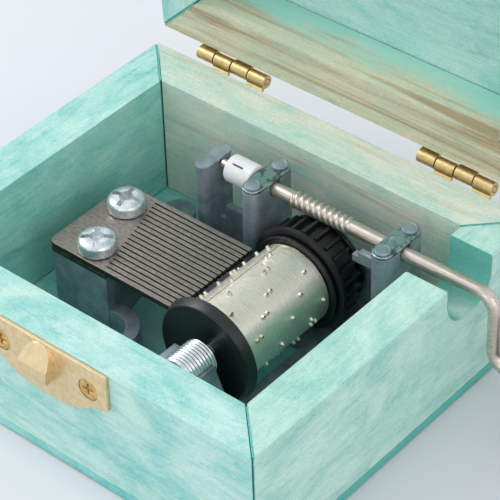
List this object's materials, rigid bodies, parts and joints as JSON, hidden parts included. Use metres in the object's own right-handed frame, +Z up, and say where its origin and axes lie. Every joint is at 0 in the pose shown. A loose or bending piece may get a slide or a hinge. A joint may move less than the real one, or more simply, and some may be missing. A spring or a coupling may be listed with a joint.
{
  "type": "hand-cranked music box",
  "caption": "Open stained wooden box with a hinged lid and hasp, holding a comb-and-cylinder musical movement turned by a side crank through a worm.",
  "frame": {"origin": "middle of the box's underside", "axes": "+X to the right along the front, towards the crank; +Y to the back, where the hinges are; +Z up"},
  "size_m": [0.0992, 0.085, 0.0968],
  "materials": {
    "stained_pine": "translucent turquoise stain on pine, grain and knots showing",
    "stained_board": "brighter blue-green stain",
    "satin_brass": "satin",
    "cast_zinc": "as cast, bluish grey",
    "zinc_plated_steel": "bright zinc plate",
    "nickel": "nickel plated, polished",
    "comb_steel": "ground steel, grey-brown",
    "dark_steel": "dark",
    "white_nylon": "matt moulded",
    "black_plastic": "moulded, slight gloss"
  },
  "bodies": {
    "box": {"back_wall": "stained_pine", "bearing_strap_left": "zinc_plated_steel", "bearing_strap_right": "zinc_plated_steel", "bearing_stud": "cast_zinc", "bottom_board": "stained_board", "catch_plate": "satin_brass", "catch_screw_left": "satin_brass", "catch_screw_right": "satin_brass", "comb": "comb_steel", "comb_screw_front": "zinc_plated_steel", "comb_screw_rear": "zinc_plated_steel", "comb_spacer": "dark_steel", "front_wall": "stained_pine", "hinge_left_box_leaf": "satin_brass", "hinge_left_box_screw_a": "satin_brass", "hinge_left_box_screw_b": "satin_brass", "hinge_left_pin": "satin_brass", "hinge_right_box_leaf": "satin_brass", "hinge_right_box_screw_a": "satin_brass", "hinge_right_box_screw_b": "satin_brass", "hinge_right_pin": "satin_brass", "left_wall": "stained_pine", "mounting_screw_front": "zinc_plated_steel", "mounting_screw_left": "zinc_plated_steel", "mounting_screw_right": "zinc_plated_steel", "movement_frame": "cast_zinc", "right_wall": "stained_pine", "rivet_left_back": "cast_zinc", "rivet_left_front": "cast_zinc", "rivet_right_back": "cast_zinc", "rivet_right_front": "cast_zinc"},
    "lid": {"hasp_pin": "satin_brass", "hasp_plate": "satin_brass", "hasp_screw_left": "satin_brass", "hasp_screw_right": "satin_brass", "hinge_left_lid_leaf": "satin_brass", "hinge_left_lid_screw_a": "satin_brass", "hinge_left_lid_screw_b": "satin_brass", "hinge_right_lid_leaf": "satin_brass", "hinge_right_lid_screw_a": "satin_brass", "hinge_right_lid_screw_b": "satin_brass", "lid_back_rail": "stained_pine", "lid_front_rail": "stained_pine", "lid_left_rail": "stained_pine", "lid_panel": "stained_pine", "lid_right_rail": "stained_pine"},
    "hasp": {"hasp_strap": "satin_brass"},
    "crank": {"crank_shaft": "nickel", "shaft_collar": "white_nylon", "knob_retainer": "zinc_plated_steel"},
    "knob": {"crank_knob": "black_plastic"},
    "cylinder": {"cylinder_sleeve": "nickel", "front_cap": "black_plastic", "drive_wheel": "black_plastic", "cylinder_arbor": "zinc_plated_steel"}
  },
  "joints": [
    {"name": "crank_spin", "type": "hinge", "parent": "box", "child": "crank", "pos_m": [0, 0.0174, 0.022], "axis": [1, 0, 0], "continuous": true},
    {"name": "cylinder_spin", "type": "hinge", "parent": "box", "child": "cylinder", "pos_m": [0.0105, 0, 0.0124], "axis": [0, 1, 0], "continuous": true},
    {"name": "lid_hinge", "type": "hinge", "parent": "box", "child": "lid", "pos_m": [0, 0.0359, 0.02495], "axis": [-1, 0, 0], "range_deg": [-87, 93]},
    {"name": "hasp_swing", "type": "hinge", "parent": "lid", "child": "hasp", "pos_m": [-0.0011, 0.03363, 0.09593], "axis": [-1, 0, 0], "range_deg": [0, 170]},
    {"name": "knob_spin", "type": "hinge", "parent": "crank", "child": "knob", "pos_m": [0.054, 0.0174, 0.009], "axis": [1, 0, 0], "continuous": true}
  ],
  "couplings": [
    {"joint": "cylinder_spin", "follows": "crank_spin", "ratio": -0.041667}
  ]
}
